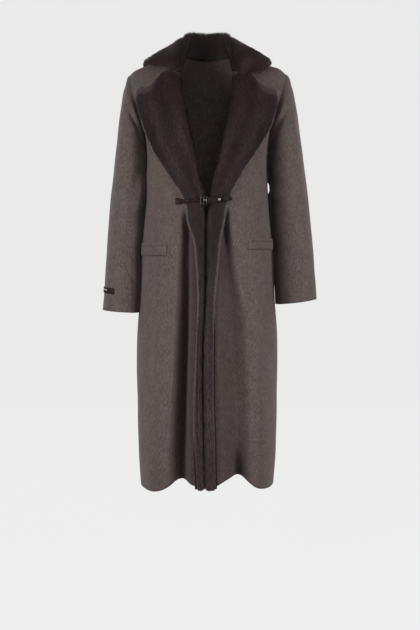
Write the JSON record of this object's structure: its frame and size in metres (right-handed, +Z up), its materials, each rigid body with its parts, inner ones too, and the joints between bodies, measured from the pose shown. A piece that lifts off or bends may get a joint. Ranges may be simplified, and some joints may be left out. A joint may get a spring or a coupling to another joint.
{
  "type": "wool coat",
  "caption": "Long wool coat in its worn form, with a folded fur collar, fur-faced lapels and front edges, a strap closure at the waist and open neck, cuffs and hem.",
  "frame": {"origin": "midway between the shoulder tips, at the height of the shoulder line where the shoulders carry the coat", "axes": "+Z up, the front faces -Y, and the wearer's left is +X"},
  "size_m": [0.569, 0.298, 1.2225],
  "materials": {
    "wool": "heathered taupe double-faced wool with a short soft nap",
    "fur": "short dark brown fur pile with lengthwise pelt bands",
    "leather": "dark brown smooth leather",
    "metal": "dark polished metal"
  },
  "bodies": {
    "root": {"back": "wool", "right_front": "wool", "left_front": "wool", "right_sleeve": "wool", "left_sleeve": "wool", "right_pocket_welt": "wool", "left_pocket_welt": "wool", "fur_collar": "fur", "right_lapel_fur": "fur", "left_lapel_fur": "fur", "right_band_fur": "fur", "left_band_fur": "fur", "strap_patch": "leather", "strap_tail": "leather", "buckle_strap": "leather", "strap_point": "leather", "cuff_tab": "leather", "buckle": "metal", "strap_stud": "metal", "cuff_tab_bar": "metal"}
  },
  "joints": []
}
